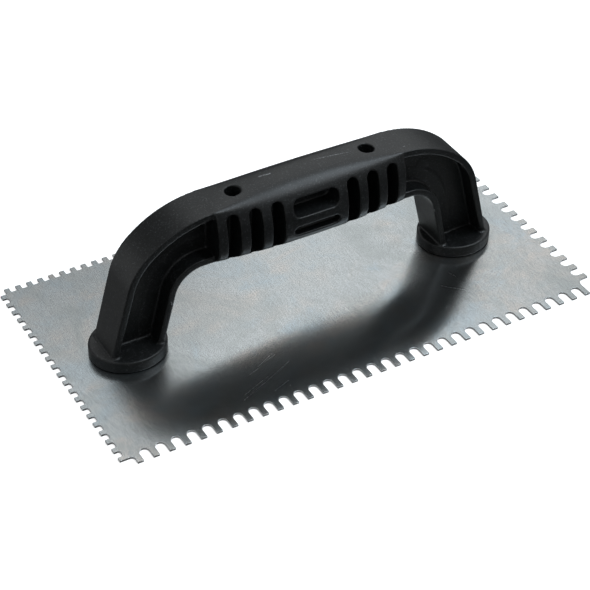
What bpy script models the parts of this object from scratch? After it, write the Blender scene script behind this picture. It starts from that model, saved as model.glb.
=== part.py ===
"""Four-sided notched trowel: a flat steel blade with a different notch along each edge,
and a moulded arch handle held to it by four countersunk screws from beneath.

Metres, +Z up. The origin is the centre of the blade's underside, the long edges run
along X and the working front edge faces -Y.
"""

import math

import bmesh
import bpy
from mathutils import Matrix, Vector

MM = 0.001
FIT_GAP = 0.3 * MM  # clearance kept between two pieces that touch

# Blade
BLADE_LENGTH = 240 * MM
BLADE_WIDTH = 128.5 * MM
BLADE_THICKNESS = 1.0 * MM
# Each edge: count of notches, pitch, where their middle lies along the edge's own travel
# from its centre, width of the gap, depth, and radius of the gap's inner corners.
NOTCH_KEYS = ("count", "pitch", "middle", "gap", "depth", "fillet")
FRONT_NOTCHES = dict(zip(NOTCH_KEYS, (31, 7.257 * MM, 0.0, 4.36 * MM, 6.5 * MM, 2.15 * MM)))
RIGHT_NOTCHES = dict(zip(NOTCH_KEYS, (14, 7.89 * MM, 2.42 * MM, 4.5 * MM, 5.3 * MM, 2.2 * MM)))
BACK_NOTCHES = dict(zip(NOTCH_KEYS, (43, 5.375 * MM, 0.0, 2.85 * MM, 3.05 * MM, 0.35 * MM)))
LEFT_NOTCHES = dict(zip(NOTCH_KEYS, (20, 5.915 * MM, 0.0, 3.3 * MM, 2.55 * MM, 0.7 * MM)))
# Each corner cut: reach along the edge that arrives, reach along the edge that leaves, fillet.
FRONT_RIGHT_CUT = (6.2 * MM, 10.1 * MM, 3.4 * MM)
BACK_RIGHT_CUT = (4.9 * MM, 3.2 * MM, 0.6 * MM)
BACK_LEFT_CUT = (3.2 * MM, 3.6 * MM, 0.35 * MM)
FRONT_LEFT_CUT = (4.1 * MM, 6.1 * MM, 1.6 * MM)

# Handle, in its own frame: z = 0 is the blade's top face
HANDLE_X = -1.95 * MM  # its middle lies a little left of the blade's and behind it
HANDLE_Y = 0.5 * MM
FOOT_SPACING = 168.6 * MM
FOOT_HALF_LENGTH = 17.5 * MM
FOOT_HALF_WIDTH = 15.8 * MM
FOOT_TOP = 5.7 * MM
FOOT_RIM_ROUND = 0.7 * MM
HANDLE_TOP = 68.0 * MM
FLANGE_THICKNESS = 3.2 * MM
FLANGE_HALF_WIDTH = 9.3 * MM
FLANGE_ROUND = 1.1 * MM
WEB_HALF_THICKNESS = 1.6 * MM
# How high above the blade the outer flanges, the web and the lining end, inside the feet;
# they differ, so that no two of their ends share a plane.
LEG_ENDS_Z = (3.0 * MM, 2.7 * MM, 3.3 * MM)
LEG_START = 44 * MM  # where the outer flange of each leg starts, inside the grip's end
# Outer line of the arch from its crown to a foot: radius and turn in degrees of each arc
CROWN_ARCS = [(464 * MM, 6.3), (49.5 * MM, 35.6), (30.5 * MM, 33.3)]
# Inner line: a straight run under the grip, one arc, then the leg
ARCH_TOP = 39.8 * MM
ARCH_FLAT = 51.8 * MM
ARCH_ARCS = [(14 * MM, 76.5)]

# Grip: a barrel between the legs, lofted through its sections. Each pair is a size in the
# middle of the grip and the same size at its ends.
GRIP_HALF_LENGTH = 46.6 * MM
GRIP_WAIST_Z = 49 * MM
CROWN_RISE = 0.15 * MM
GRIP_HALF_WIDTH = (16.2 * MM, 13.4 * MM)
GRIP_BOTTOM = (38.0 * MM, 38.9 * MM)
SHOULDER_HALF_WIDTH = (9.6 * MM, 9.45 * MM)
SHOULDER_DROP = (1.35 * MM, 0.3 * MM)
SHOULDER_ROUND = (11.0 * MM, 1.1 * MM)
SHOULDER_START = 0.65  # share of its rounding by which the side stops short of a shoulder
BELLY_POWER = 3.0
GRIP_STATIONS = 15
SIDE_STEPS = 6
BELLY_STEPS = 10

# Grip grooves and recesses, the same on both sides
GROOVE_WIDTH = 5.8 * MM
GROOVE_PITCH = 10.35 * MM
GROOVE_OUTERMOST = 39.3 * MM
GROOVES_PER_END = 3
GROOVE_TOP = 63.0 * MM
GROOVE_BOTTOM = 40.3 * MM
GROOVE_FLOOR = 4.6 * MM
GROOVE_ROUND = 2.7 * MM
RECESS_HALF_LENGTH = 11.2 * MM
THUMB_RECESS_Z = (53.8 * MM, 61.9 * MM)
THUMB_RECESS_FLOOR = 6.0 * MM
THUMB_RECESS_ROUND = 3.2 * MM
SLOT_ROUND = 2.1 * MM
SIDE_SLOT_Z = (45.2 * MM, 49.6 * MM)
SIDE_SLOT_FLOOR = 12.0 * MM
BELLY_SLOT_Y = (9.4 * MM, 13.7 * MM)
BELLY_SLOT_CEILING = 42.6 * MM
TOP_HOLE_SPACING = 66.2 * MM
TOP_HOLE_RADIUS = 3.7 * MM
TOP_HOLE_DEPTH = 8 * MM

# Fixings, with z from the blade's underside
SCREW_OFFSET = 9.5 * MM  # each side of the web
SCREW_HEAD_FACE = 0.1 * MM
SCREW_HEAD_RADIUS = 3.7 * MM
SCREW_RADIUS = 1.8 * MM
SCREW_TIP = 5.9 * MM
SCREW_CHAMFER = 0.4 * MM
CROSS_WIDTH = 0.9 * MM
CROSS_SPAN = 3.8 * MM
CROSS_DEPTH = 1.3 * MM
CROSS_ROUND = 0.2 * MM
CROSS_TURNS = (20, 110)  # degrees from +X
CONE_GAP = FIT_GAP * math.sqrt(2)  # the gap across a 45 degree cone, measured along the radius
DIMPLE_TOP = 2.0 * MM
THROAT_Z = 1.8 * MM  # where the countersunk seat ends in a plain hole
INSERT_RADIUS = 3.0 * MM
INSERT_BORE = 2.1 * MM
INSERT_Z = (2.6 * MM, 5.8 * MM)
INSERT_GROOVE = 0.35 * MM
INSERT_GROOVE_HALF = 0.45 * MM
INSERT_HOLE_TOP = 6.2 * MM

ROUND_STEPS = 40  # sides of a turned foot
SMALL_STEPS = 24  # sides of a screw or an insert
OVERCUT = 1 * MM  # how far a cutter runs past the face it cuts
WELD = 0.002 * MM  # points closer than this are one
SHARP_ANGLE = 28  # degrees; an edge that turns further stays crisp


# ---------------------------------------------------------------- scene helpers


def clear_scene():
    for obj in list(bpy.data.objects):
        bpy.data.objects.remove(obj, do_unlink=True)


def new_collection(name):
    collection = bpy.data.collections.new(name)
    bpy.context.scene.collection.children.link(collection)
    return collection


def new_material(name, color, roughness, metallic):
    material = bpy.data.materials.new(name)
    material.use_nodes = True
    shader = material.node_tree.nodes["Principled BSDF"]
    shader.inputs["Base Color"].default_value = (*color, 1)
    shader.inputs["Roughness"].default_value = roughness
    shader.inputs["Metallic"].default_value = metallic
    material.diffuse_color = (*color, 1)
    return material


def add_object(name, mesh, collection, location=(0, 0, 0)):
    obj = bpy.data.objects.new(name, mesh)
    obj.location = location
    collection.objects.link(obj)
    if collection is helpers:
        obj.hide_render = True
        obj.display_type = "WIRE"
    return obj


def evaluated_mesh(obj, cap_height=None):
    """The object's mesh with its modifiers, or its curve, worked out and its seams welded.

    With a cap height, the faces that lie flat at that height, up and down, become one each.
    """
    bpy.context.view_layer.update()
    graph = bpy.context.evaluated_depsgraph_get()
    mesh = bpy.data.meshes.new_from_object(obj.evaluated_get(graph))
    shape = bmesh.new()
    shape.from_mesh(mesh)
    bmesh.ops.remove_doubles(shape, verts=shape.verts, dist=WELD)
    if cap_height is not None:
        for level in (-cap_height, cap_height):
            cap = [f for f in shape.faces if all(abs(v.co.z - level) < WELD for v in f.verts)]
            bmesh.ops.dissolve_faces(shape, faces=cap)
    bmesh.ops.recalc_face_normals(shape, faces=shape.faces)
    shape.to_mesh(mesh)
    shape.free()
    return mesh


def settle(obj, material):
    """Turns a part's modifiers into its mesh, shades it and gives it its material."""
    mesh = evaluated_mesh(obj)
    obj.modifiers.clear()
    obj.data = mesh
    mesh.name = obj.name
    mesh.shade_smooth()
    mesh.set_sharp_from_angle(angle=math.radians(SHARP_ANGLE))
    mesh.materials.clear()
    mesh.materials.append(material)


def boolean(obj, other, operation):
    modifier = obj.modifiers.new(f"{operation.lower()} {other.name}", "BOOLEAN")
    modifier.operation = operation
    modifier.object = other
    modifier.solver = "EXACT"


# ---------------------------------------------------------------- shape helpers


def extruded(name, outline, half_depth, collection, upright=False, rounding=0.0):
    """A closed outline of (u, v) points given thickness both ways; upright puts v along Z."""
    curve = bpy.data.curves.new(name, "CURVE")
    curve.dimensions = "2D"
    curve.fill_mode = "BOTH"
    curve.extrude = half_depth - rounding
    curve.bevel_depth = rounding
    curve.bevel_resolution = 1
    curve.offset = -rounding
    spline = curve.splines.new("POLY")
    spline.points.add(len(outline) - 1)
    for point, (u, v) in zip(spline.points, outline):
        point.co = (u, v, 0, 1)
    spline.use_cyclic_u = True
    guide = bpy.data.objects.new(name, curve)
    bpy.context.scene.collection.objects.link(guide)
    mesh = evaluated_mesh(guide, cap_height=half_depth)
    bpy.data.objects.remove(guide)
    bpy.data.curves.remove(curve)
    if upright:
        mesh.transform(Matrix.Rotation(math.radians(90), 4, "X"))
    return add_object(name, mesh, collection)


def turned(name, profile, steps, collection, location=(0, 0, 0), closed=False):
    """A profile of (radius, z) points, outer side running downwards, turned about Z."""
    mesh = bpy.data.meshes.new(name)
    verts = [(radius, 0, z) for radius, z in profile]
    edges = [(i, i + 1) for i in range(len(profile) - 1)]
    if closed:
        edges.append((len(profile) - 1, 0))
    mesh.from_pydata(verts, edges, [])
    obj = add_object(name, mesh, collection, location)
    screw = obj.modifiers.new("turn", "SCREW")
    screw.steps = steps
    screw.render_steps = steps
    screw.use_merge_vertices = True
    screw.merge_threshold = 0.01 * MM
    screw.use_normal_calculate = False
    return obj


def fillet(corner, before, after, radius, steps):
    """Points that round a corner lying between the directions to two neighbours."""
    to_before = (before - corner).normalized()
    to_after = (after - corner).normalized()
    half_angle = to_before.angle(to_after) / 2
    start = corner + to_before * (radius / math.tan(half_angle))
    middle = corner + (to_before + to_after).normalized() * (radius / math.sin(half_angle))
    turn = math.pi - 2 * half_angle
    if to_before.cross(to_after) > 0:
        turn = -turn
    arm = start - middle
    return [middle + Matrix.Rotation(turn * i / steps, 2) @ arm for i in range(steps + 1)]


def rounded_rectangle(low, high, radius, steps=5):
    """Outline of a rectangle between two opposite corners, with rounded corners."""
    corners = [Vector((low[0], low[1])), Vector((high[0], low[1]))]
    corners += [Vector((high[0], high[1])), Vector((low[0], high[1]))]
    points = []
    for i, corner in enumerate(corners):
        points += fillet(corner, corners[i - 1], corners[(i + 1) % 4], radius, steps)
    return points


def arc_chain(start, arcs, heading=0.0, shrink=0.0, step_degrees=5.0):
    """Points of a line that leaves start at a heading below +u and turns down by each arc."""
    point = Vector(start)
    points = [point.copy()]
    for radius, turn in arcs:
        steps = max(2, round(turn / step_degrees))
        chord = 2 * (radius - shrink) * math.sin(math.radians(turn / steps) / 2)
        for _ in range(steps):
            heading += turn / steps / 2
            angle = math.radians(heading)
            point = point + Vector((math.cos(angle), -math.sin(angle))) * chord
            heading += turn / steps / 2
            points.append(point)
    return points, heading


# ---------------------------------------------------------------- blade


def edge_notches(origin, along, inward, notches):
    """Outline points of one edge's notches; origin is the middle of the edge."""
    points = []
    half_gap = notches["gap"] / 2
    for i in range(notches["count"]):
        offset = notches["middle"] + (i - (notches["count"] - 1) / 2) * notches["pitch"]
        mouth = origin + along * offset
        near = mouth - along * half_gap
        far = mouth + along * half_gap
        near_floor = near + inward * notches["depth"]
        far_floor = far + inward * notches["depth"]
        steps = 4 if notches["fillet"] > 1 * MM else 2
        points.append(near)
        points += fillet(near_floor, near, far_floor, notches["fillet"], steps)
        points += fillet(far_floor, near_floor, far, notches["fillet"], steps)
        points.append(far)
    return points


def corner_cut(corner, along_in, along_out, cut):
    """Outline points of the notch that takes a corner away."""
    reach_in, reach_out, radius = cut
    start = corner - along_in * reach_in
    end = corner + along_out * reach_out
    inner = start + along_out * reach_out
    return [start, *fillet(inner, start, end, radius, 4), end]


def blade_outline():
    half_length = BLADE_LENGTH / 2
    half_width = BLADE_WIDTH / 2
    right, up = Vector((1, 0)), Vector((0, 1))
    edges = [
        (right, -half_width, half_length, FRONT_NOTCHES, FRONT_RIGHT_CUT),
        (up, -half_length, half_width, RIGHT_NOTCHES, BACK_RIGHT_CUT),
        (-right, -half_width, half_length, BACK_NOTCHES, BACK_LEFT_CUT),
        (-up, -half_length, half_width, LEFT_NOTCHES, FRONT_LEFT_CUT),
    ]
    points = []
    for along, side, reach, notches, cut in edges:
        inward = Vector((-along.y, along.x))
        middle = inward * side
        points += edge_notches(middle, along, inward, notches)
        points += corner_cut(middle + along * reach, along, inward, cut)
    return points


def screw_places():
    """(name of the place, x, y) of each screw, in the object's frame."""
    places = []
    for side, sign in (("left", -1), ("right", 1)):
        for end, y in (("front", -SCREW_OFFSET), ("back", SCREW_OFFSET)):
            places.append((f"{side}_{end}", HANDLE_X + sign * FOOT_SPACING / 2, HANDLE_Y + y))
    return places


def seat_radius(z):
    """Radius of the blade's countersunk seat at a height above its underside."""
    return SCREW_HEAD_RADIUS + SCREW_HEAD_FACE + CONE_GAP - z


def dimple_radius(z):
    """Radius of the dimple's outside, one blade thickness beyond the seat."""
    return seat_radius(z) + BLADE_THICKNESS * math.sqrt(2)


def make_blade():
    blade = extruded("blade", blade_outline(), BLADE_THICKNESS / 2, parts)
    blade.data.transform(Matrix.Translation((0, 0, BLADE_THICKNESS / 2)))
    root = BLADE_THICKNESS / 2  # the cone starts inside the sheet
    for place, x, y in screw_places():
        outside = [(0, DIMPLE_TOP), (dimple_radius(DIMPLE_TOP), DIMPLE_TOP)]
        outside += [(dimple_radius(root), root), (0, root)]
        dimple = turned(f"dimple_{place}", outside, SMALL_STEPS, helpers, (x, y, 0))
        boolean(blade, dimple, "UNION")
    for place, x, y in screw_places():
        top, bottom = DIMPLE_TOP + OVERCUT, -OVERCUT
        hole = seat_radius(THROAT_Z)
        seat = [(0, top), (hole, top), (hole, THROAT_Z), (seat_radius(bottom), bottom), (0, bottom)]
        cutter = turned(f"seat_{place}", seat, SMALL_STEPS, helpers, (x, y, 0))
        cutter.rotation_euler.z = math.pi / SMALL_STEPS  # so that no edge lies along the dimple's
        boolean(blade, cutter, "DIFFERENCE")
    settle(blade, new_material("cold_rolled_steel", (0.62, 0.63, 0.65), 0.34, 1.0))


# ---------------------------------------------------------------- handle


def leg_line(points, heading, foot_z):
    """Carries a half outline of the arch straight on, down to a height inside the foot."""
    last = points[-1]
    angle = math.radians(heading)
    run = (last.y - foot_z) / math.sin(angle)
    return points + [last + Vector((math.cos(angle), -math.sin(angle))) * run]


def outer_line(inset, foot_z):
    """Right half of the outer line, from inside the grip's end, moved in by inset."""
    crown_radius, crown_turn = CROWN_ARCS[0]
    heading = math.degrees(math.asin(LEG_START / crown_radius))
    drop = HANDLE_TOP - crown_radius
    angle = math.radians(heading)
    inner_radius = crown_radius - inset
    start = (inner_radius * math.sin(angle), drop + inner_radius * math.cos(angle))
    arcs = [(crown_radius, crown_turn - heading), *CROWN_ARCS[1:]]
    points, heading = arc_chain(start, arcs, heading=heading, shrink=inset)
    return leg_line(points, heading, foot_z)


def inner_line(outset, foot_z):
    points, heading = arc_chain((ARCH_FLAT, ARCH_TOP + outset), ARCH_ARCS, shrink=-outset, step_degrees=9)
    return leg_line(points, heading, foot_z)


def mirrored(points):
    return [Vector((-point.x, point.y)) for point in reversed(points)]


def arch_band(outer_half, inner_half):
    """Closed outline between two lines that run over the whole arch, from half of each."""
    outer = mirrored(outer_half[1:]) + outer_half
    inner = mirrored(inner_half) + inner_half
    return outer + inner[::-1]


def taper(sizes, x):
    """A size that changes from the grip's middle to its ends as the square of x."""
    middle, end = sizes
    return middle + (end - middle) * (x / GRIP_HALF_LENGTH) ** 2


def crown_height(x):
    """Height of the grip's crown, which clears the arch's outer line by a hair."""
    radius = CROWN_ARCS[0][0]
    return HANDLE_TOP - radius + math.sqrt(radius**2 - x**2) + CROWN_RISE


def side_and_crown(x):
    """(y, z) points of half a section, from the widest point of its side to its crown."""
    half_width = taper(GRIP_HALF_WIDTH, x)
    top = crown_height(x)
    shoulder = Vector((taper(SHOULDER_HALF_WIDTH, x), top - taper(SHOULDER_DROP, x)))
    inset = half_width - shoulder.x
    rise = shoulder.y - GRIP_WAIST_Z
    radius = (inset**2 + rise**2) / (2 * inset)
    rounding = taper(SHOULDER_ROUND, x)
    sweep = math.asin(rise / radius) - SHOULDER_START * rounding / radius
    points = []
    for i in range(SIDE_STEPS + 1):
        angle = sweep * i / SIDE_STEPS
        pulled_in = radius * (1 - math.cos(angle))
        points.append(Vector((half_width - pulled_in, GRIP_WAIST_Z + radius * math.sin(angle))))
    halfway = Vector((shoulder.x / 2, top - taper(SHOULDER_DROP, x) / 4))
    points += fillet(shoulder, points[-1], halfway, rounding, 4)
    points += [halfway, Vector((0, top))]
    return points


def belly(x):
    """(y, z) points of half a section, a superellipse from its lowest point up to its side."""
    half_width = taper(GRIP_HALF_WIDTH, x)
    drop = GRIP_WAIST_Z - taper(GRIP_BOTTOM, x)
    points = [Vector((0, GRIP_WAIST_Z - drop))]
    for i in range(1, BELLY_STEPS):
        angle = math.pi / 2 * i / BELLY_STEPS
        across = math.sin(angle) ** (2 / BELLY_POWER)
        down = math.cos(angle) ** (2 / BELLY_POWER)
        points.append(Vector((half_width * across, GRIP_WAIST_Z - drop * down)))
    return points


def grip_section(x):
    """Ring of points of the grip's section at x."""
    half = belly(x) + side_and_crown(x)
    other_half = [Vector((-point.x, point.y)) for point in half[1:-1]]
    return [Vector((x, point.x, point.y)) for point in half + other_half[::-1]]


def make_grip(collection):
    shape = bmesh.new()
    rings = []
    for i in range(GRIP_STATIONS):
        x = -GRIP_HALF_LENGTH * math.cos(math.pi * i / (GRIP_STATIONS - 1))
        rings.append([shape.verts.new(point) for point in grip_section(x)])
    for near, far in zip(rings, rings[1:]):
        for i in range(len(near)):
            shape.faces.new((near[i - 1], near[i], far[i], far[i - 1]))
    shape.faces.new(rings[0])
    shape.faces.new(list(reversed(rings[-1])))
    bmesh.ops.recalc_face_normals(shape, faces=shape.faces)
    mesh = bpy.data.meshes.new("handle")
    shape.to_mesh(mesh)
    shape.free()
    return add_object("handle", mesh, collection, (HANDLE_X, HANDLE_Y, BLADE_THICKNESS))


def groove_centres():
    centres = []
    for i in range(GROOVES_PER_END):
        x = GROOVE_OUTERMOST - i * GROOVE_PITCH
        centres += [-x, x]
    return centres


def side_cutter(name, outline, floor_y, side):
    """A cutter with an outline in XZ, from floor_y out past the grip, on one side of it."""
    reach = GRIP_HALF_WIDTH[0] + OVERCUT
    cutter = extruded(name, outline, (reach - floor_y) / 2, helpers, upright=True)
    cutter.data.transform(Matrix.Translation((0, side * (reach + floor_y) / 2, 0)))
    return cutter


def handle_cutters():
    cutters = []
    half_groove = GROOVE_WIDTH / 2
    recess_outline = rounded_rectangle(
        (-RECESS_HALF_LENGTH, THUMB_RECESS_Z[0]),
        (RECESS_HALF_LENGTH, THUMB_RECESS_Z[1]),
        THUMB_RECESS_ROUND,
    )
    slot_outline = rounded_rectangle(
        (-RECESS_HALF_LENGTH, SIDE_SLOT_Z[0]), (RECESS_HALF_LENGTH, SIDE_SLOT_Z[1]), SLOT_ROUND
    )
    belly_outline = rounded_rectangle(
        (-RECESS_HALF_LENGTH, BELLY_SLOT_Y[0]), (RECESS_HALF_LENGTH, BELLY_SLOT_Y[1]), SLOT_ROUND
    )
    for side_name, side in (("front", -1), ("back", 1)):
        for i, x in enumerate(sorted(groove_centres())):
            outline = rounded_rectangle(
                (x - half_groove, GROOVE_BOTTOM), (x + half_groove, GROOVE_TOP), GROOVE_ROUND
            )
            cutters.append(side_cutter(f"groove_{side_name}_{i + 1}", outline, GROOVE_FLOOR, side))
        recess = side_cutter(
            f"thumb_recess_{side_name}", recess_outline, THUMB_RECESS_FLOOR, side
        )
        cutters.append(recess)
        cutters.append(side_cutter(f"side_slot_{side_name}", slot_outline, SIDE_SLOT_FLOOR, side))
        outline = [(u, side * v) for u, v in belly_outline][::side]
        bottom = GRIP_BOTTOM[0] - OVERCUT
        slot = extruded(f"belly_slot_{side_name}", outline, (BELLY_SLOT_CEILING - bottom) / 2, helpers)
        slot.data.transform(Matrix.Translation((0, 0, (BELLY_SLOT_CEILING + bottom) / 2)))
        cutters.append(slot)
    for side_name, side in (("left", -1), ("right", 1)):
        top = HANDLE_TOP + OVERCUT
        bottom = HANDLE_TOP - TOP_HOLE_DEPTH
        profile = [(0, top), (TOP_HOLE_RADIUS, top), (TOP_HOLE_RADIUS, bottom), (0, bottom)]
        hole = turned(f"top_hole_{side_name}", profile, SMALL_STEPS, helpers)
        hole.location.x = side * TOP_HOLE_SPACING / 2
        cutters.append(hole)
    for place, x, y in screw_places():
        base, ceiling, roof = 0, DIMPLE_TOP + FIT_GAP, INSERT_HOLE_TOP
        hole = INSERT_RADIUS + FIT_GAP
        profile = [(0, roof), (hole, roof), (hole, ceiling), (dimple_radius(ceiling) + CONE_GAP, ceiling)]
        profile += [(dimple_radius(base) + CONE_GAP, base), (0, base)]
        cutter = turned(f"insert_hole_{place}", profile, SMALL_STEPS, helpers)
        cutter.location = (x - HANDLE_X, y - HANDLE_Y, -BLADE_THICKNESS)
        cutters.append(cutter)
    return cutters


def foot_profile():
    """Profile of a foot along its length; its width is narrowed afterwards."""
    edge = Vector((FOOT_HALF_LENGTH, FOOT_TOP))
    rim = fillet(edge, Vector((0, FOOT_TOP)), Vector((FOOT_HALF_LENGTH, 0)), FOOT_RIM_ROUND, 3)
    bottom = [(FOOT_HALF_LENGTH, FIT_GAP), (0, FIT_GAP)]
    return [(0, FOOT_TOP), *[tuple(point) for point in rim], *bottom]


def make_flanges_and_web():
    """The legs' outer flange, the web that fills the arch and the flange that lines it."""
    strap_end, web_end, lining_end = LEG_ENDS_Z
    strap_outline = outer_line(0, strap_end) + outer_line(FLANGE_THICKNESS, strap_end)[::-1]
    straps = []
    for side_name, outline in (("right", strap_outline), ("left", mirrored(strap_outline))):
        name = f"outer_flange_{side_name}"
        straps.append(
            extruded(name, outline, FLANGE_HALF_WIDTH, helpers, upright=True, rounding=FLANGE_ROUND)
        )
    half = FLANGE_THICKNESS / 2
    web_outline = arch_band(outer_line(half, web_end), inner_line(half, web_end))
    web = extruded("web", web_outline, WEB_HALF_THICKNESS, helpers, upright=True)
    lining_outline = arch_band(inner_line(FLANGE_THICKNESS, lining_end), inner_line(0, lining_end))
    lining = extruded(
        "inner_flange", lining_outline, FLANGE_HALF_WIDTH, helpers, upright=True, rounding=FLANGE_ROUND
    )
    return [*straps, web, lining]


def make_handle():
    handle = make_grip(parts)
    joined = make_flanges_and_web()
    for side_name, side in (("left", -1), ("right", 1)):
        foot = turned(f"foot_{side_name}", foot_profile(), ROUND_STEPS, helpers)
        foot.location.x = side * FOOT_SPACING / 2
        foot.scale.y = FOOT_HALF_WIDTH / FOOT_HALF_LENGTH
        joined.append(foot)
    cutters = handle_cutters()
    for helper in joined + cutters:
        helper.parent = handle
    for helper in joined:
        boolean(handle, helper, "UNION")
    for cutter in cutters:
        boolean(handle, cutter, "DIFFERENCE")
    settle(handle, new_material("black_moulded_plastic", (0.018, 0.019, 0.02), 0.42, 0.0))


# ---------------------------------------------------------------- fixings


def make_screw(place, x, y, material):
    head_end = SCREW_HEAD_FACE + SCREW_HEAD_RADIUS - SCREW_RADIUS
    profile = [
        (0, SCREW_TIP),
        (SCREW_RADIUS - SCREW_CHAMFER, SCREW_TIP),
        (SCREW_RADIUS, SCREW_TIP - SCREW_CHAMFER),
        (SCREW_RADIUS, head_end),
        (SCREW_HEAD_RADIUS, SCREW_HEAD_FACE),
        (0, SCREW_HEAD_FACE),
    ]
    screw = turned(f"screw_{place}", profile, SMALL_STEPS, parts, (x, y, 0))
    half_span, half_width = CROSS_SPAN / 2, CROSS_WIDTH / 2
    outline = rounded_rectangle((-half_span, -half_width), (half_span, half_width), CROSS_ROUND, 2)
    for turn in CROSS_TURNS:
        slot = extruded(f"cross_{turn}_{place}", outline, CROSS_DEPTH, helpers)
        slot.data.transform(Matrix.Rotation(math.radians(turn), 4, "Z"))
        slot.location = (x, y, SCREW_HEAD_FACE)
        boolean(screw, slot, "DIFFERENCE")
    settle(screw, material)


def make_insert(place, x, y, material):
    low, high = INSERT_Z
    middle = (low + high) / 2
    groove_top = middle + INSERT_GROOVE_HALF
    groove_bottom = middle - INSERT_GROOVE_HALF
    profile = [
        (INSERT_BORE, high),
        (INSERT_RADIUS, high),
        (INSERT_RADIUS, groove_top),
        (INSERT_RADIUS - INSERT_GROOVE, groove_top),
        (INSERT_RADIUS - INSERT_GROOVE, groove_bottom),
        (INSERT_RADIUS, groove_bottom),
        (INSERT_RADIUS, low),
        (INSERT_BORE, low),
    ]
    insert = turned(f"threaded_insert_{place}", profile, SMALL_STEPS, parts, (x, y, 0), closed=True)
    settle(insert, material)


def make_fixings():
    zinc = new_material("zinc_plated_steel", (0.72, 0.73, 0.74), 0.3, 1.0)
    brass = new_material("brass", (0.72, 0.53, 0.25), 0.35, 1.0)
    for place, x, y in screw_places():
        make_screw(place, x, y, zinc)
        make_insert(place, x, y, brass)


clear_scene()
parts = new_collection("notched_trowel")
helpers = new_collection("cutters")
make_blade()
make_handle()
make_fixings()
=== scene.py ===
"""Notched trowel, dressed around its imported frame: cold-rolled steel blade with four notched
edges, black moulded arch handle, and the screws and inserts that hold them together.

Metres, +Z up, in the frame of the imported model. The working front edge faces -Y.
"""

import math

import bmesh
import bpy
from mathutils import Matrix, Vector


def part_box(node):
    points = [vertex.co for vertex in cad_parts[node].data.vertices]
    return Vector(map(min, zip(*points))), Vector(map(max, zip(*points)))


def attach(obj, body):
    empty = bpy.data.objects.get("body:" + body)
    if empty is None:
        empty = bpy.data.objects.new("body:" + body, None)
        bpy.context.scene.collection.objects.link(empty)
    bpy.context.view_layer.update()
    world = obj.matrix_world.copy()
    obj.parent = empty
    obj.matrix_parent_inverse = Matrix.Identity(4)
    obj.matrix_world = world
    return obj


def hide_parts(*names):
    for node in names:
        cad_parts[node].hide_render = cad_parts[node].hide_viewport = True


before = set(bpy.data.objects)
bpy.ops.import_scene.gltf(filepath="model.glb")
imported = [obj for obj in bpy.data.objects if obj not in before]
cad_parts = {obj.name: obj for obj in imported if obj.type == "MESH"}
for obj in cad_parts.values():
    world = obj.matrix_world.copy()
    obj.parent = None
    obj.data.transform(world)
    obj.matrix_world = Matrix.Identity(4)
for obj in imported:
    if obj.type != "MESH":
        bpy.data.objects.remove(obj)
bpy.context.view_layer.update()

MM = 0.001
PER_MM = 1000  # turns metres into millimetres for the textures

# Camera: where it stands around the object, and where the object's origin falls in its view
CAMERA_AZIMUTH = -31.223
CAMERA_ELEVATION = 38.850
CAMERA_ROLL = 1.590
CAMERA_DISTANCE = 851.3 * MM
CAMERA_AIM = (2.767 * MM, 2.243 * MM, 1.0 * MM)  # offsets right and up, and height aimed at
CAMERA_LENS = 115.418
CAMERA_SENSOR = 36.0
CAMERA_CLIP_START = 10 * MM

# Light. Directions and half angles are in degrees; azimuth 0 is in front of the object, at -Y
ROOM_COLOR = (0.955, 0.985, 1.0, 1)
ROOM_LIGHT = 0.08
FLOOR_GLOW = 0.65
# Light from overhead: half angles from the zenith where it starts and is full, and its strength
SKY_GRADIENT = (107, 53, 0.10)
# Soft panels in the sky: azimuth, elevation, half angles where a panel's light starts and is
# full, and its strength. They are what the steel and the plastic reflect.
SKY_PANELS = [
    (126, 56, 48, 22, 0.42),
    (166, 52, 14, 5, 1.1),
    (-132, 2, 30, 12, 0.58),
    (-86, 34, 44, 15, 0.36),
    (-12, 18, 28, 10, 0.30),
    (63, 14, 27, 12, 0.60),
]
# Area lights: name, azimuth, elevation, distance, size, power and colour
SOFTBOXES = [
    ("front_box", 36, 52, 1.1, (0.2, 0.2), 0.7, (1, 1, 1)),
    ("top_box", 68, 60, 1.2, (0.6, 0.6), 5.8, (0.80, 0.91, 1.0)),
    ("key_box", 137, 42, 0.45, (0.27, 0.40), 0.19, ROOM_COLOR[:3]),
]
FLOOR_HALF_SIZE = 3.0
FLOOR_DEPTH = 20 * MM
FLOOR_CLEARANCE = 0.05 * MM  # keeps the floor's top just off the blade's underside

# Handle, in its own frame: z = 0 is the blade's top face
FIT_GAP = 0.3 * MM
handle_low, handle_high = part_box("handle")
HANDLE_X = (handle_low.x + handle_high.x) / 2
HANDLE_Y = (handle_low.y + handle_high.y) / 2
BLADE_TOP = handle_low.z - FIT_GAP
CROWN_RISE = (0.15 * MM, 0.04 * MM)
HANDLE_TOP = handle_high.z - BLADE_TOP - CROWN_RISE[0]
FOOT_HALF_LENGTH = 17.5 * MM
FOOT_HALF_WIDTH = 15.8 * MM
FOOT_SPACING = handle_high.x - handle_low.x - 2 * FOOT_HALF_LENGTH
FOOT_TOP = 5.7 * MM
FOOT_RIM_ROUND = 0.7 * MM
FLANGE_THICKNESS = 3.2 * MM
FLANGE_HALF_WIDTH = 9.3 * MM
FLANGE_ROUND = 0.9 * MM
WEB_HALF_THICKNESS = 1.6 * MM
LEG_END = 3.0 * MM  # how high above the blade the flanges and the web end, inside the feet
LEG_START = 44 * MM  # where the outer flange of each leg starts, inside the grip's end
# Outer line of the arch from its crown to a foot: radius and turn in degrees of each arc
CROWN_ARCS = [(464 * MM, 6.3), (49.5 * MM, 35.6), (30.5 * MM, 33.3)]
# Inner line: a straight run under the grip, one arc, then the leg
ARCH_TOP = 39.8 * MM
ARCH_FLAT = 51.8 * MM
ARCH_ARCS = [(14 * MM, 76.5)]
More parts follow.
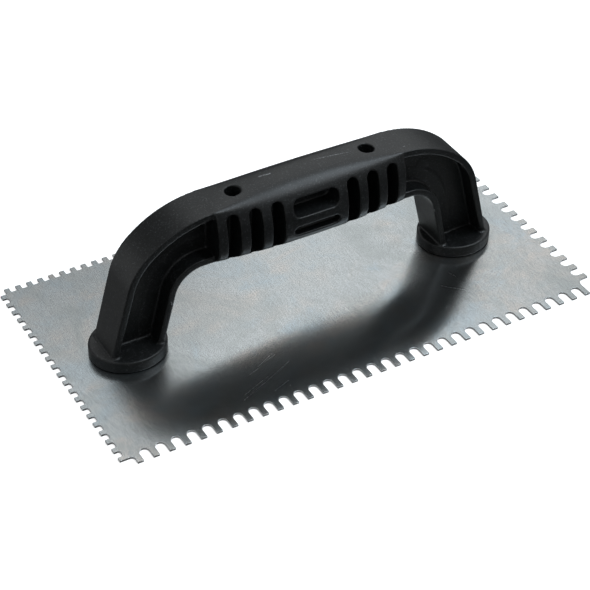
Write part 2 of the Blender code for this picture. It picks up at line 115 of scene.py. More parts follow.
# Marks of the mould on the web: a step around each inner bend, and an ejector pin's disc
STEP_OFFSET = 10.4 * MM
STEP_HEIGHT = 0.25 * MM
PIN_PLACE = (62.4 * MM, 49.6 * MM)
PIN_RADIUS = 3.1 * MM
PIN_HEIGHT = 0.17 * MM

# Grip: a barrel between the legs, lofted through its sections. Each pair is a size in the
# middle of the grip and the same size at its ends.
GRIP_HALF_LENGTH = 46.6 * MM
GRIP_WAIST_Z = 49 * MM
GRIP_HALF_WIDTH = (16.2 * MM, 13.4 * MM)
GRIP_BOTTOM = (38.0 * MM, 38.9 * MM)
SHOULDER_HALF_WIDTH = (9.6 * MM, 9.35 * MM)
SHOULDER_DROP = (1.35 * MM, 0.02 * MM)
SHOULDER_ROUND = (11.0 * MM, 0.95 * MM)
SHOULDER_START = 0.65  # share of its rounding by which the side stops short of a shoulder
CROWN_SHARES = (0.5, 0.33, 0.16, 0)  # where the crown's points are, as shares of the shoulder's
BELLY_POWER = 3.0  # 2 would make the belly an ellipse
GRIP_STATIONS = 41  # sections along the grip
SIDE_STEPS = 12
SHOULDER_STEPS = 8
BELLY_STEPS = 20

# Grip grooves and recesses, the same on both sides
GROOVE_WIDTH = 5.8 * MM
GROOVE_PITCH = 10.35 * MM
GROOVE_OUTERMOST = 39.3 * MM
GROOVES_PER_END = 3
GROOVE_Z = (40.3 * MM, 63.0 * MM)
GROOVE_ROUND = 2.7 * MM
GROOVE_FLOOR = 4.6 * MM
RECESS_HALF_LENGTH = 11.2 * MM
THUMB_RECESS_Z = (53.8 * MM, 61.9 * MM)
THUMB_RECESS_FLOOR = 6.0 * MM
THUMB_RECESS_ROUND = 3.2 * MM
SLOT_ROUND = 2.1 * MM
SIDE_SLOT_Z = (45.2 * MM, 49.6 * MM)
SIDE_SLOT_FLOOR = 12.0 * MM
BELLY_SLOT_Y = (9.4 * MM, 13.7 * MM)
BELLY_SLOT_CEILING = 42.6 * MM
TOP_HOLE_SPACING = 66.2 * MM
TOP_HOLE_RADIUS = 3.5 * MM
TOP_HOLE_DEPTH = 8 * MM
SCREW_HOLE_OFFSET = 9.5 * MM
SCREW_HOLE_ROOF = 5.2 * MM
SCREW_HOLE_RADIUS = 3.3 * MM

# How finely the handle's surface is made
ARC_STEP_DEGREES = 1.5
ROUND_STEPS = 72  # around a turned shape
CORNER_STEPS = 10  # around the corner of a groove or recess
RIM_STEPS = 6
FLANGE_ROUND_STEPS = 4
OVERCUT = 1 * MM  # how far a cutter reaches past the face it opens
WELD = 0.002 * MM
SKIN_VOXEL = 0.4 * MM
SKIN_SMOOTHING = 5
SKIN_KEEP = 0.36  # share of the skin's triangles that is kept

# The carried-over nodes: how their edges are broken
EDGE_BREAK = 0.18 * MM  # rounding of the punched blade's edges
FIXING_EDGE_BREAK = 0.06 * MM
EDGE_BREAK_STEPS = 2
SHARP_DEGREES = 35  # an edge that turns more than this is broken
FLAT_DEGREES = 0.5  # faces that turn less than this are merged first
NODE_WELD = 0.001 * MM

# The steel's finish
GRAIN_AXIS = (0.03, 1, 0.02)  # the sheet is brushed across the blade, a touch off square
# The sheet is a little twisted: its slope up towards the back edge, at two places along it
TWIST_PLACES = (-70, 90)
TWIST_SLOPES = (0.008, 0.030)
HAIRLINES = [(-20, 1, 0.05), (64, 3, 0.0)]  # direction in degrees, seed, density
# Scratches on the blade's top face: both ends, and half the width, in millimetres
SCRATCHES = [
    ((-42.8, -36.5), (-33.2, -31.7), 0.22),
    ((-38.6, -35.1), (-32.4, -32.9), 0.22),
    ((-48.2, -39.1), (-43.1, -37.5), 0.18),
    ((-58.4, -52.3), (-46.5, -47.4), 0.20),
    ((-46.5, -47.4), (-29.4, -39.8), 0.22),
    ((-56.4, -49.5), (-42.1, -43.9), 0.18),
    ((-44.1, -53.4), (-35.4, -50.2), 0.18),
    ((-36.7, -53.5), (-36.6, -53.7), 0.35),
    ((57.1, -27.8), (65.0, -35.4), 0.20),
    ((50.6, -41.9), (50.7, -42.1), 0.35),
    ((65.6, -21.6), (66.9, -25.3), 0.18),
]
# Scuffs on the handle, the same way, with z above the blade
SCUFFS = [
    ((6, 2.4, 68.3), (26, 0.2, 67.7), 0.45),
    ((-21, 3.0, 68.0), (-16, 2.4, 68.0), 0.6),
    ((47.3, -4.6, 65.6), (48.1, -4.4, 65.5), 0.4),
    ((-93.4, -8.6, 28.4), (-93.7, -8.8, 27.0), 0.5),
    ((-95.0, -8.6, 21.6), (-95.2, -8.8, 20.2), 0.45),
    ((-69.6, -8.8, 26.2), (-69.3, -9.1, 24.8), 0.5),
    ((63.9, -8.6, 27.8), (64.0, -8.9, 26.7), 0.5),
    ((64.4, -8.6, 22.7), (64.5, -8.9, 21.4), 0.55),
]


# ---------------------------------------------------------------- shapes


def polar(angle_degrees):
    angle = math.radians(angle_degrees)
    return Vector((math.cos(angle), math.sin(angle)))


def fillet(corner, before, after, radius, steps):
    """Points that round a corner lying between the directions to two neighbours."""
    to_before = (before - corner).normalized()
    to_after = (after - corner).normalized()
    half_angle = to_before.angle(to_after) / 2
    start = corner + to_before * (radius / math.tan(half_angle))
    middle = corner + (to_before + to_after).normalized() * (radius / math.sin(half_angle))
    turn = math.pi - 2 * half_angle
    if to_before.cross(to_after) > 0:
        turn = -turn
    arm = start - middle
    return [middle + Matrix.Rotation(turn * i / steps, 2) @ arm for i in range(steps + 1)]


def rounded_rectangle(low, high, radius):
    """Outline of a rectangle between two opposite corners, with rounded corners."""
    corners = [Vector((low[0], low[1])), Vector((high[0], low[1]))]
    corners += [Vector((high[0], high[1])), Vector((low[0], high[1]))]
    points = []
    for i, corner in enumerate(corners):
        points += fillet(corner, corners[i - 1], corners[(i + 1) % 4], radius, CORNER_STEPS)
    return points


def disc_outline(middle, radius):
    steps = ROUND_STEPS // 2
    return [Vector(middle) + polar(360 * i / steps) * radius for i in range(steps)]


def arc_chain(start, arcs, heading=0.0, shrink=0.0):
    """Points of a line that leaves start at a heading below +u and turns down by each arc."""
    point = Vector(start)
    points = [point.copy()]
    for radius, turn in arcs:
        steps = max(2, round(turn / ARC_STEP_DEGREES))
        chord = 2 * (radius - shrink) * math.sin(math.radians(turn / steps) / 2)
        for _ in range(steps):
            heading += turn / steps / 2
            point = point + polar(-heading) * chord
            heading += turn / steps / 2
            points.append(point)
    return points, heading


def leg_line(points, heading, foot_z):
    """Carries a half outline of the arch straight on, down to a height inside the foot."""
    last = points[-1]
    run = (last.y - foot_z) / math.sin(math.radians(heading))
    return points + [last + polar(-heading) * run]


def outer_line(inset, foot_z):
    """Right half of the outer line, from inside the grip's end, moved in by inset."""
    crown_radius, crown_turn = CROWN_ARCS[0]
    heading = math.degrees(math.asin(LEG_START / crown_radius))
    start = Vector((0, HANDLE_TOP - crown_radius)) + polar(90 - heading) * (crown_radius - inset)
    arcs = [(crown_radius, crown_turn - heading), *CROWN_ARCS[1:]]
    points, heading = arc_chain(start, arcs, heading=heading, shrink=inset)
    return leg_line(points, heading, foot_z)


def inner_line(outset, foot_z):
    """Right half of the inner line, moved out by outset."""
    points, heading = arc_chain((ARCH_FLAT, ARCH_TOP + outset), ARCH_ARCS, shrink=-outset)
    return leg_line(points, heading, foot_z)


def mirrored(points):
    return [Vector((-point.x, point.y)) for point in reversed(points)]


def arch_band(outer_half, inner_half):
    """Closed outline between two lines that run over the whole arch, from half of each."""
    outer = mirrored(outer_half) + outer_half
    inner = mirrored(inner_half) + inner_half
    return outer + inner[::-1]


def shape_mesh(shape):
    """Turns a bmesh into a mesh with its faces pointing out."""
    bmesh.ops.remove_doubles(shape, verts=shape.verts, dist=WELD)
    bmesh.ops.recalc_face_normals(shape, faces=shape.faces)
    mesh = bpy.data.meshes.new("shape")
    shape.to_mesh(mesh)
    shape.free()
    return mesh


def slab(outline, low, high, rounding=0.0, upright=True):
    """A closed outline of (u, v) points filled from low to high; upright puts v along Z."""
    shape = bmesh.new()
    floor = [shape.verts.new((u, v, low)) for u, v in outline]
    roof = [shape.verts.new((u, v, high)) for u, v in outline]
    shape.faces.new(floor[::-1])
    shape.faces.new(roof)
    for i in range(len(outline)):
        shape.faces.new((floor[i - 1], floor[i], roof[i], roof[i - 1]))
    if rounding:
        rims = [e for e in shape.edges if abs(e.verts[0].co.z - e.verts[1].co.z) < WELD]
        bmesh.ops.bevel(
            shape, geom=rims, offset=rounding, segments=FLANGE_ROUND_STEPS, profile=0.5,
            affect="EDGES",
        )
    if upright:
        quarter_turn = Matrix.Rotation(math.radians(90), 3, "X")
        bmesh.ops.rotate(shape, verts=shape.verts, matrix=quarter_turn)
    return shape_mesh(shape)


def lathe(profile):
    """A profile of (radius, z) points that starts and ends on the axis, turned about Z."""
    shape = bmesh.new()
    verts = [shape.verts.new((radius, 0, z)) for radius, z in profile]
    edges = [shape.edges.new(pair) for pair in zip(verts, verts[1:])]
    bmesh.ops.spin(
        shape, geom=verts + edges, cent=(0, 0, 0), axis=(0, 0, 1), angle=math.tau,
        steps=ROUND_STEPS,
    )
    return shape_mesh(shape)


def joined(meshes):
    """One mesh that holds several closed shapes."""
    shape = bmesh.new()
    for mesh in meshes:
        shape.from_mesh(mesh)
    mesh = bpy.data.meshes.new("joined")
    shape.to_mesh(mesh)
    shape.free()
    return mesh


def evaluated(obj):
    """A new mesh with the object's modifiers worked out."""
    bpy.context.view_layer.update()
    graph = bpy.context.evaluated_depsgraph_get()
    return bpy.data.meshes.new_from_object(obj.evaluated_get(graph))


def link(name, data):
    """A new object in the scene that holds a mesh, a light or a camera."""
    obj = bpy.data.objects.new(name, data)
    bpy.context.scene.collection.objects.link(obj)
    return obj


# ---------------------------------------------------------------- handle


def taper(sizes, x):
    """A size that changes from the grip's middle to its ends as the square of x."""
    middle, end = sizes
    return middle + (end - middle) * (x / GRIP_HALF_LENGTH) ** 2


def crown_height(x):
    """The grip's top: the arch's own line, raised a hair so that the two never coincide."""
    radius = CROWN_ARCS[0][0]
    return HANDLE_TOP - radius + math.sqrt(radius**2 - x**2) + taper(CROWN_RISE, x)


def side_and_crown(x):
    """(y, z) points of half a section, from the widest point of its side to its crown."""
    half_width = taper(GRIP_HALF_WIDTH, x)
    top = crown_height(x)
    drop = taper(SHOULDER_DROP, x)
    shoulder = Vector((taper(SHOULDER_HALF_WIDTH, x), top - drop))
    inset = half_width - shoulder.x
    rise = shoulder.y - GRIP_WAIST_Z
    radius = (inset**2 + rise**2) / (2 * inset)
    rounding = taper(SHOULDER_ROUND, x)
    sweep = math.degrees(math.asin(rise / radius) - SHOULDER_START * rounding / radius)
    middle = Vector((half_width - radius, GRIP_WAIST_Z))
    points = [middle + polar(sweep * i / SIDE_STEPS) * radius for i in range(SIDE_STEPS + 1)]
    crown = [Vector((shoulder.x * share, top - drop * share**2)) for share in CROWN_SHARES]
    points += fillet(shoulder, points[-1], crown[0], rounding, SHOULDER_STEPS)
    return points + crown


def belly(x):
    """(y, z) points of half a section, a superellipse from its lowest point up to its side."""
    half_width = taper(GRIP_HALF_WIDTH, x)
    drop = GRIP_WAIST_Z - taper(GRIP_BOTTOM, x)
    points = [Vector((0, GRIP_WAIST_Z - drop))]
    for i in range(1, BELLY_STEPS):
        angle = math.pi / 2 * i / BELLY_STEPS
        across = math.sin(angle) ** (2 / BELLY_POWER)
        down = math.cos(angle) ** (2 / BELLY_POWER)
        points.append(Vector((half_width * across, GRIP_WAIST_Z - drop * down)))
    return points


def grip_mesh():
    """The barrel, skinned over closed sections from its left end to its right end."""
    shape = bmesh.new()
    rings = []
    for i in range(GRIP_STATIONS):
        x = -GRIP_HALF_LENGTH * math.cos(math.pi * i / (GRIP_STATIONS - 1))
        half = belly(x) + side_and_crown(x)
        ring = half + [Vector((-point.x, point.y)) for point in half[1:-1]][::-1]
        rings.append([shape.verts.new((x, point.x, point.y)) for point in ring])
    for near, far in zip(rings, rings[1:]):
        for i in range(len(near)):
            shape.faces.new((near[i - 1], near[i], far[i], far[i - 1]))
    shape.faces.new(rings[0])
    shape.faces.new(rings[-1][::-1])
    return shape_mesh(shape)


def foot_mesh(side):
    """A turned foot, made oval and moved under its leg."""
    edge = Vector((FOOT_HALF_LENGTH, FOOT_TOP))
    inward, below = Vector((0, FOOT_TOP)), Vector((FOOT_HALF_LENGTH, 0))
    rim = fillet(edge, inward, below, FOOT_RIM_ROUND, RIM_STEPS)
    profile = [(0, FOOT_TOP), *[tuple(point) for point in rim]]
    profile += [(FOOT_HALF_LENGTH, FIT_GAP), (0, FIT_GAP)]
    foot = lathe(profile)
    oval = Matrix.Diagonal((1, FOOT_HALF_WIDTH / FOOT_HALF_LENGTH, 1, 1))
    foot.transform(Matrix.Translation((side * FOOT_SPACING / 2, 0, 0)) @ oval)
    return foot


def flange_and_web_meshes():
    """The legs' outer flanges, the web, its mould marks and the flange that lines the arch."""
    strap = outer_line(0, LEG_END) + outer_line(FLANGE_THICKNESS, LEG_END)[::-1]
    width, web = FLANGE_HALF_WIDTH, WEB_HALF_THICKNESS
    half = FLANGE_THICKNESS / 2
    meshes = [slab(outline, -width, width, FLANGE_ROUND) for outline in (strap, mirrored(strap))]
    meshes.append(slab(arch_band(outer_line(half, LEG_END), inner_line(half, LEG_END)), -web, web))
    step = web + STEP_HEIGHT
    step_band = arch_band(inner_line(STEP_OFFSET, LEG_END), inner_line(half, LEG_END))
    meshes.append(slab(step_band, -step, step))
    pin_face = web + PIN_HEIGHT
    for side in (-1, 1):
        pin = disc_outline((side * PIN_PLACE[0], PIN_PLACE[1]), PIN_RADIUS)
        meshes.append(slab(pin, -pin_face, pin_face))
    lining = arch_band(inner_line(FLANGE_THICKNESS, LEG_END), inner_line(0, LEG_END))
    meshes.append(slab(lining, -width, width, FLANGE_ROUND))
    return meshes


def side_cut(outline, floor_y, side):
    """A cutter with an outline in XZ, from floor_y out past the grip, on one side of it."""
    reach = GRIP_HALF_WIDTH[0] + OVERCUT
    low, high = sorted((-side * floor_y, -side * reach))
    return slab(outline, low, high)


def handle_cuts():
    """The cutters of the grooves, recesses, slots, crown holes and inserts' sockets."""
    cuts = []
    reach = RECESS_HALF_LENGTH
    half_groove = GROOVE_WIDTH / 2
    low, high = THUMB_RECESS_Z
    recess = rounded_rectangle((-reach, low), (reach, high), THUMB_RECESS_ROUND)
    slot = rounded_rectangle((-reach, SIDE_SLOT_Z[0]), (reach, SIDE_SLOT_Z[1]), SLOT_ROUND)
    for side in (-1, 1):
        for end in (-1, 1):
            for i in range(GROOVES_PER_END):
                x = end * (GROOVE_OUTERMOST - i * GROOVE_PITCH)
                low, high = (x - half_groove, GROOVE_Z[0]), (x + half_groove, GROOVE_Z[1])
                groove = rounded_rectangle(low, high, GROOVE_ROUND)
                cuts.append(side_cut(groove, GROOVE_FLOOR, side))
        cuts.append(side_cut(recess, THUMB_RECESS_FLOOR, side))
        cuts.append(side_cut(slot, SIDE_SLOT_FLOOR, side))
        near, far = sorted(side * y for y in BELLY_SLOT_Y)
        outline = rounded_rectangle((-reach, near), (reach, far), SLOT_ROUND)
        cuts.append(slab(outline, GRIP_BOTTOM[0] - OVERCUT, BELLY_SLOT_CEILING, upright=False))
        hole = disc_outline((side * TOP_HOLE_SPACING / 2, 0), TOP_HOLE_RADIUS)
        top = HANDLE_TOP + OVERCUT
        cuts.append(slab(hole, HANDLE_TOP - TOP_HOLE_DEPTH, top, upright=False))
        for end in (-1, 1):
            middle = (side * FOOT_SPACING / 2, end * SCREW_HOLE_OFFSET)
            screw = disc_outline(middle, SCREW_HOLE_RADIUS)
            cuts.append(slab(screw, -OVERCUT, SCREW_HOLE_ROOF, upright=False))
    return joined(cuts)


def make_handle():
    """One moulding: every shape fused, cut, then skinned so that its edges and corners round."""
    solids = [grip_mesh(), foot_mesh(-1), foot_mesh(1), *flange_and_web_meshes()]
    body = link("handle_moulding", solids[0])
    others = [link("solid", mesh) for mesh in solids[1:]]
    cutter = link("cutter", handle_cuts())
    for other in others:
        union = body.modifiers.new("union", "BOOLEAN")
        union.operation = "UNION"
        union.object = other
    cut = body.modifiers.new("cut", "BOOLEAN")
    cut.operation = "DIFFERENCE"
    cut.object = cutter
    skin = body.modifiers.new("skin", "REMESH")
    skin.mode = "VOXEL"
    skin.voxel_size = SKIN_VOXEL
    skin.use_smooth_shade = True
    smooth = body.modifiers.new("soften", "SMOOTH")
    smooth.iterations = SKIN_SMOOTHING
    thin = body.modifiers.new("thin", "DECIMATE")
    thin.ratio = SKIN_KEEP
    mesh = evaluated(body)
    body.modifiers.clear()
    body.data = mesh
    mesh.shade_smooth()
    for helper in [*others, cutter]:
        bpy.data.objects.remove(helper)
    body.location = (HANDLE_X, HANDLE_Y, BLADE_TOP)
    body.data.materials.clear()
    body.data.materials.append(plastic_material())
    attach(body, "root")
    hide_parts("handle")


# ---------------------------------------------------------------- materials


class Tree:
    """Builds a material's nodes: inputs may be values or other nodes' sockets."""

    def __init__(self, name):
        self.material = bpy.data.materials.new(name)
        self.material.use_nodes = True
        self.nodes = self.material.node_tree.nodes
        self.links = self.material.node_tree.links
        self.shader = self.nodes["Principled BSDF"]

    def put(self, socket, value):
        if isinstance(value, bpy.types.NodeSocket):
            self.links.new(value, socket)
        else:
            socket.default_value = value

    def add(self, kind, inputs=None, output=0, **settings):
        """A new node's output socket. Inputs are given by name or by number."""
        node = self.nodes.new(kind)
        for name, value in settings.items():
            setattr(node, name, value)
        for key, value in (inputs or {}).items():
            self.put(node.inputs[key], value)
        return node.outputs[output]

    def place(self, stretch=(1, 1, 1), turn=0.0):
        """Where the surface is, in millimetres, turned about Z and then stretched."""
        coordinates = self.add("ShaderNodeTexCoord", output="Object")
        turned = self.add(
            "ShaderNodeMapping", {"Vector": coordinates, "Rotation": (0, 0, math.radians(turn))}
        )
        scale = [PER_MM * share for share in stretch]
        return self.add("ShaderNodeVectorMath", {0: turned, 1: scale}, operation="MULTIPLY")

    def along(self, axis):
        """How far along an axis the surface is, in millimetres."""
        return self.add("ShaderNodeSeparateXYZ", {0: self.place()}, output=axis)

    def noise(self, scale, detail=3.0, roughness=0.55, stretch=(1, 1, 1), turn=0.0, distortion=0.0):
        inputs = {"Vector": self.place(stretch, turn), "Scale": scale, "Detail": detail}
        inputs |= {"Roughness": roughness, "Distortion": distortion}
        return self.add("ShaderNodeTexNoise", inputs)

    def spread(self, value, low, high, to_low=0.0, to_high=1.0):
        """Maps low..high onto to_low..to_high, eased and held at the ends."""
        inputs = {0: value, 1: low, 2: high, 3: to_low, 4: to_high}
        return self.add("ShaderNodeMapRange", inputs, interpolation_type="SMOOTHSTEP")

    def math(self, operation, first, second=0.0):
        return self.add("ShaderNodeMath", {0: first, 1: second}, operation=operation)

    def mix(self, factor, first, second):
        """Between two colours."""
        node = self.nodes.new("ShaderNodeMix")
        node.data_type = "RGBA"
        sockets = [s for s in node.inputs if s.enabled]
        for socket, value in zip(sockets, (factor, first, second)):
            self.put(socket, value)
        return next(s for s in node.outputs if s.enabled)

    def across(self, axis):
        """The direction in the surface that is square to an axis."""
        normal = self.add("ShaderNodeNewGeometry", output="Normal")
        return self.add("ShaderNodeVectorMath", {0: axis, 1: normal}, operation="CROSS_PRODUCT")

    def sheared_faces(self):
        """1 on the faces that the punch left upright around the sheet, 0 on its flat sides."""
        normal = self.add("ShaderNodeNewGeometry", output="True Normal")
        up = self.add("ShaderNodeSeparateXYZ", {0: normal}, output="Z")
        return self.spread(self.math("ABSOLUTE", up), 0.35, 0.75, 1.0, 0.0)

    def bump(self, height, strength, distance, normal=None):
        inputs = {"Height": height, "Strength": strength, "Distance": distance}
        if normal is not None:
            inputs["Normal"] = normal
        return self.add("ShaderNodeBump", inputs)

    def hairlines(self, turn, seed, density):
        """Long fine scratches in one direction, broken up into stretches. They are contours of
        a noise that is drawn out lengthwise, and the seed picks another contour."""
        run = self.noise(1.0, 0.0, stretch=(0.02, 1.1, 1), turn=turn + seed * 0.01)
        off = self.math("ABSOLUTE", self.math("SUBTRACT", run, 0.5 + 0.02 * seed))
        line = self.spread(off, 0.0, 0.006, 1.0, 0.0)
        patch = self.noise(0.02, 2.0, stretch=(1, 2.2, 1), turn=turn + 30 + seed)
        return self.math("MULTIPLY", line, self.spread(patch, 0.52 - density, 0.78 - density))

    def streak(self, start, end, half_width):
        """A rubbed mark along a straight line between two points, in metres."""
        coordinates = self.add("ShaderNodeTexCoord", output="Object")
        start, end = Vector(start), Vector(end)
        along = end - start
        offset = self.add("ShaderNodeVectorMath", {0: coordinates, 1: start}, operation="SUBTRACT")
        share = self.add(
            "ShaderNodeVectorMath", {0: offset, 1: along / along.length_squared},
            output="Value", operation="DOT_PRODUCT",
        )
        held = self.add("ShaderNodeClamp", {0: share})
        nearest = self.add("ShaderNodeVectorMath", {0: along, "Scale": held}, operation="SCALE")
        gap = self.add(
            "ShaderNodeVectorMath", {0: offset, 1: nearest}, output="Value", operation="DISTANCE"
        )
        near = self.spread(gap, half_width * 0.3, half_width, 1.0, 0.0)
        grit = self.spread(self.noise(2.2, 4.0, 0.7), 0.42, 0.6)
        return self.math("MULTIPLY", near, grit)

    def streaks(self, marks, origin):
        """All of a list of marks, whose ends are in millimetres from an origin in metres."""
        found = 0.0
        for start, end, half_width in marks:
            ends = [Vector(point).to_3d() * MM + Vector(origin) for point in (start, end)]
            found = self.math("MAXIMUM", self.streak(*ends, half_width * MM), found)
        return found

    def finish(self, color, roughness, normal, metallic=0.0, **uniform):
        shader = self.shader.inputs
        self.put(shader["Base Color"], color)
        self.put(shader["Roughness"], roughness)
        self.put(shader["Normal"], normal)
        shader["Metallic"].default_value = metallic
        for name, value in uniform.items():
            shader[name.replace("_", " ")].default_value = value
        return self.material


def steel_material():
    """Cold-rolled sheet: grey with faint stains and speckle, brushed across, and scratched."""
    tree = Tree("cold_rolled_steel")
    cool, warm, blue = (0.500, 0.522, 0.524, 1), (0.570, 0.527, 0.489, 1), (0.438, 0.503, 0.540, 1)
    dull, speckled = (0.400, 0.425, 0.418, 1), (0.270, 0.286, 0.291, 1)
    glint, bare = (0.85, 0.86, 0.87, 1), (0.80, 0.80, 0.80, 1)

    # Stains a few centimetres wide
    stain = tree.noise(0.021, 3.0, 0.55, stretch=(1, 1.5, 1), distortion=1.2)
    blotch = tree.noise(0.033, 4.0, 0.6, stretch=(1.2, 1, 1), turn=40, distortion=0.8)
    smudge = tree.noise(0.034, 5.0, 0.65, stretch=(1, 0.7, 1), turn=-25, distortion=0.9)
    color = tree.mix(tree.spread(stain, 0.44, 0.66, 0.0, 0.9), cool, warm)
    color = tree.mix(tree.spread(blotch, 0.48, 0.68, 0.0, 0.9), color, blue)
    color = tree.mix(tree.spread(smudge, 0.44, 0.68, 0.0, 0.8), color, dull)
    roughness = tree.spread(smudge, 0.40, 0.75, 0.195, 0.218)

    # Brushing and speckle, under a millimetre
    grain = tree.math("MULTIPLY", tree.noise(1.0, 2.0, 0.6, stretch=(2.6, 0.16, 1)), 0.17)
    speckle = tree.math("MULTIPLY", tree.noise(2.1, 4.0, 0.8, stretch=(1, 1.15, 1)), 0.83)
    brushed = tree.math("ADD", grain, speckle)
    bright = tree.spread(tree.noise(1.7, 1.0, 0.5), 0.74, 0.80)
    color = tree.mix(tree.spread(brushed, 0.45, 0.59), color, speckled)
    color = tree.mix(tree.math("MULTIPLY", bright, 0.6), color, glint)
    roughness = tree.math("ADD", roughness, tree.spread(brushed, 0.42, 0.58, -0.006, 0.010))

    # Hairlines, and the deeper scratches
    first, second = [tree.hairlines(*lines) for lines in HAIRLINES]
    scratches = tree.math("MULTIPLY", tree.math("MAXIMUM", first, second), 0.3)
    scratches = tree.math("MAXIMUM", tree.streaks(SCRATCHES, (0, 0, BLADE_TOP)), scratches)
    roughness = tree.math("ADD", roughness, tree.math("MULTIPLY", scratches, 0.19))

    # The punched edges are bare and matt
    sheared = tree.sheared_faces()
    color = tree.mix(tree.math("MULTIPLY", sheared, 0.85), color, bare)
    roughness = tree.math("MAXIMUM", roughness, tree.math("MULTIPLY", sheared, 0.62))

    # The sheet is a little wavy and twisted, which bends its reflections
    wave = tree.noise(0.018, 1.0, 0.4, stretch=(1, 1.3, 1))
    slope = tree.spread(tree.along("X"), *TWIST_PLACES, *TWIST_SLOPES)
    twist = tree.math("MULTIPLY", tree.along("Y"), slope)
    normal = tree.bump(wave, 0.5, 0.20 * MM)
    normal = tree.bump(twist, 1.0, MM, normal)
    normal = tree.bump(brushed, 0.35, 0.010 * MM, normal)
    normal = tree.bump(scratches, 0.4, -0.01 * MM, normal)
    tree.put(tree.shader.inputs["Tangent"], tree.across(GRAIN_AXIS))
    return tree.finish(color, roughness, normal, metallic=0.96, Anisotropic=0.9)


def plastic_material():
    """Black moulded plastic with a fine spark-eroded skin, scuffed where hands and tools rub."""
    tree = Tree("black_moulded_plastic")
    black, faded = (0.0030, 0.0037, 0.0037, 1), (0.0050, 0.0058, 0.0061, 1)
    dusty, worn = (0.06, 0.062, 0.064, 1), (0.10, 0.103, 0.106, 1)
    flecked, scuffed = (0.047, 0.050, 0.052, 1), (0.42, 0.43, 0.44, 1)

    # Fading and dust in clouds, and wear along the edges
    cloud = tree.noise(0.06, 4.0, 0.6)
    grit = tree.noise(1.6, 3.0, 0.6)
    dust = tree.math("MULTIPLY", tree.spread(cloud, 0.52, 0.72), tree.spread(grit, 0.5, 0.68))
    pointed = tree.add("ShaderNodeNewGeometry", output="Pointiness")
    rubbed = tree.spread(pointed, 0.53, 0.62)
    rubbed = tree.math("MULTIPLY", rubbed, tree.spread(grit, 0.40, 0.62))
    color = tree.mix(tree.spread(cloud, 0.35, 0.7), black, faded)
    color = tree.mix(tree.math("MULTIPLY", dust, 0.18), color, dusty)
    color = tree.mix(tree.math("MULTIPLY", rubbed, 0.16), color, worn)

    # The moulded skin, and scuffs over it
    skin = tree.noise(1.3, 3.0, 0.8)
    scuffs = tree.streaks(SCUFFS, (-HANDLE_X, -HANDLE_Y, 0))
    color = tree.mix(tree.spread(skin, 0.55, 0.67), color, flecked)
    color = tree.mix(tree.math("MULTIPLY", scuffs, 0.9), color, scuffed)
    roughness = tree.spread(cloud, 0.3, 0.75, 0.35, 0.45)
    roughness = tree.math("ADD", roughness, tree.math("MULTIPLY", dust, 0.08))
    roughness = tree.math("ADD", roughness, tree.math("MULTIPLY", scuffs, 0.15))
    normal = tree.bump(tree.noise(0.045, 2.0, 0.5), 0.35, 0.12 * MM)
    normal = tree.bump(skin, 0.6, 0.085 * MM, normal)
    return tree.finish(color, roughness, normal, Specular_IOR_Level=0.44)


def zinc_material():
    """Bright zinc plating with a thin, uneven yellow and blue tint."""
    tree = Tree("zinc_plated_steel")
    tint = tree.noise(0.25, 3.0, 0.6)
    color = tree.mix(tree.spread(tint, 0.4, 0.65), (0.66, 0.68, 0.72, 1), (0.72, 0.70, 0.60, 1))
    grain = tree.noise(3.0, 4.0, 0.6)
    roughness = tree.spread(grain, 0.3, 0.7, 0.22, 0.36)
    normal = tree.bump(grain, 0.25, 0.02 * MM)
    return tree.finish(color, roughness, normal, metallic=1.0)


def brass_material():
    """Machined brass with turning lines and slight tarnish."""
    tree = Tree("brass")
    tarnish = tree.noise(0.4, 3.0, 0.6)
    color = tree.mix(tree.spread(tarnish, 0.4, 0.7), (0.78, 0.57, 0.26, 1), (0.48, 0.33, 0.15, 1))
    lines = tree.noise(1.0, 2.0, 0.5, stretch=(0.2, 0.2, 9.0))
    roughness = tree.spread(lines, 0.3, 0.7, 0.26, 0.42)
    normal = tree.bump(lines, 0.3, 0.02 * MM)
    return tree.finish(color, roughness, normal, metallic=1.0)


# ---------------------------------------------------------------- carried-over nodes


def crisp(node, material, edge_break):
    """Gives a frame node its material and breaks its sharp edges as punching and plating do."""
    node.data.materials.clear()
    node.data.materials.append(material)
    weld = node.modifiers.new("weld", "WELD")
    weld.merge_threshold = NODE_WELD
    flatten = node.modifiers.new("flatten", "DECIMATE")
    flatten.decimate_type = "DISSOLVE"
    flatten.angle_limit = math.radians(FLAT_DEGREES)
    bevel = node.modifiers.new("edge break", "BEVEL")
    bevel.width = edge_break
    bevel.segments = EDGE_BREAK_STEPS
    bevel.limit_method = "ANGLE"
    bevel.angle_limit = math.radians(SHARP_DEGREES)
    bevel.harden_normals = False
    bevel.use_clamp_overlap = False
    shade = node.modifiers.new("shade", "WEIGHTED_NORMAL")
    shade.keep_sharp = False


def dress_frame():
    """The blade, the screws and the inserts stay the CAD's own."""
    steel, zinc, brass = steel_material(), zinc_material(), brass_material()
    for name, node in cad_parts.items():
        if name == "blade":
            crisp(node, steel, EDGE_BREAK)
        elif name.startswith("screw"):
            crisp(node, zinc, FIXING_EDGE_BREAK)
        elif name.startswith("threaded_insert"):
            crisp(node, brass, FIXING_EDGE_BREAK)


# ---------------------------------------------------------------- stage


def facing(azimuth, elevation):
    """Unit vector towards a place around the object; azimuth 0 is in front, at -Y."""
    a, e = math.radians(azimuth), math.radians(elevation)
    return Vector((math.sin(a) * math.cos(e), -math.cos(a) * math.cos(e), math.sin(e)))


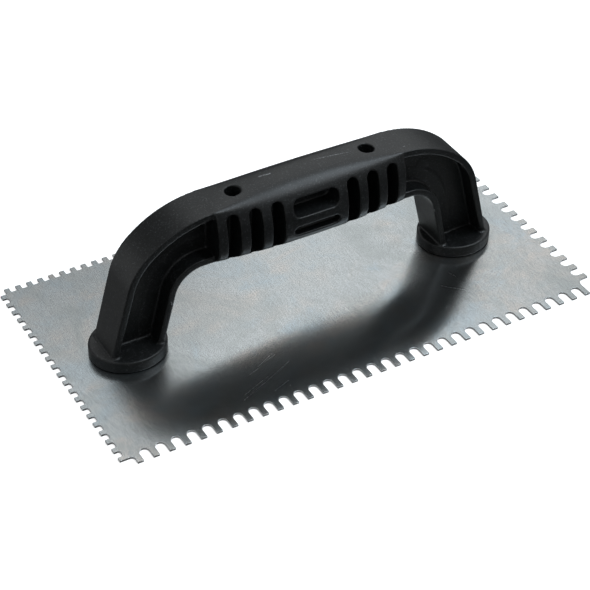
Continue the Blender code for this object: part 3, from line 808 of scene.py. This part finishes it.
def make_camera():
    """The photograph's camera, solved on the blade's corners and notches."""
    back = facing(CAMERA_AZIMUTH, CAMERA_ELEVATION)
    level = Vector((0, 0, 1)).cross(back).normalized()
    roll = Matrix.Rotation(math.radians(CAMERA_ROLL), 3, back)
    right = roll @ level
    up = back.cross(right)
    data = bpy.data.cameras.new("camera")
    data.lens = CAMERA_LENS
    data.sensor_width = CAMERA_SENSOR
    data.clip_start = CAMERA_CLIP_START
    camera = link("camera", data)
    aim_right, aim_up, aim_height = CAMERA_AIM
    place = back * CAMERA_DISTANCE - right * aim_right - up * aim_up + Vector((0, 0, aim_height))
    turn = Matrix((right, up, back)).transposed().to_4x4()
    camera.matrix_world = Matrix.Translation(place) @ turn
    bpy.context.scene.camera = camera


def make_floor():
    """A pale, evenly lit floor that keeps its light off the object above it."""
    half = FLOOR_HALF_SIZE
    outline = [(-half, -half), (half, -half), (half, half), (-half, half)]
    floor = link("floor", slab(outline, -FLOOR_DEPTH, -FLOOR_CLEARANCE, upright=False))
    tree = Tree("pale_floor")
    shade = tree.noise(0.004, 2.0, 0.5)
    color = tree.mix(shade, (0.93, 0.935, 0.94, 1), (0.95, 0.95, 0.95, 1))
    normal = tree.bump(tree.noise(0.4, 2.0, 0.5), 0.02, 0.02 * MM)
    tree.put(tree.shader.inputs["Emission Color"], (1, 1, 1, 1))
    tree.put(tree.shader.inputs["Emission Strength"], FLOOR_GLOW)
    floor.data.materials.append(tree.finish(color, 0.7, normal, Specular_IOR_Level=0.2))
    floor.visible_glossy = False
    floor.visible_diffuse = False


def make_softbox(name, azimuth, elevation, distance, size, power, color):
    data = bpy.data.lights.new(name, "AREA")
    data.shape = "RECTANGLE"
    data.size, data.size_y = size
    data.energy = power
    data.color = color
    light = link(name, data)
    light.visible_camera = False
    towards = facing(azimuth, elevation)
    light.location = towards * distance
    light.rotation_mode = "QUATERNION"
    light.rotation_quaternion = towards.to_track_quat("Z", "Y")


def make_world():
    """A dim room with soft light from overhead and from the panels in SKY_PANELS."""
    world = bpy.data.worlds.new("studio")
    bpy.context.scene.world = world
    world.use_nodes = True
    nodes, links = world.node_tree.nodes, world.node_tree.links
    background = nodes["Background"]
    direction = nodes.new("ShaderNodeTexCoord").outputs["Generated"]
    light = None
    for azimuth, elevation, outer, inner, strength in [(0, 90, *SKY_GRADIENT), *SKY_PANELS]:
        lean = nodes.new("ShaderNodeVectorMath")
        lean.operation = "DOT_PRODUCT"
        links.new(direction, lean.inputs[0])
        lean.inputs[1].default_value = facing(azimuth, elevation)
        panel = nodes.new("ShaderNodeMapRange")
        panel.interpolation_type = "SMOOTHSTEP"
        links.new(lean.outputs["Value"], panel.inputs[0])
        edges = (math.cos(math.radians(outer)), math.cos(math.radians(inner)), 0.0, strength)
        for number, value in enumerate(edges, start=1):
            panel.inputs[number].default_value = value
        both = nodes.new("ShaderNodeMath")
        links.new(panel.outputs[0], both.inputs[0])
        both.inputs[1].default_value = ROOM_LIGHT
        if light is not None:
            links.new(light, both.inputs[1])
        light = both.outputs[0]
    links.new(light, background.inputs["Strength"])
    background.inputs["Color"].default_value = ROOM_COLOR


def make_stage():
    bpy.context.scene.view_settings.view_transform = "Standard"
    make_camera()
    make_world()
    make_floor()
    for softbox in SOFTBOXES:
        make_softbox(*softbox)


make_stage()
dress_frame()
make_handle()
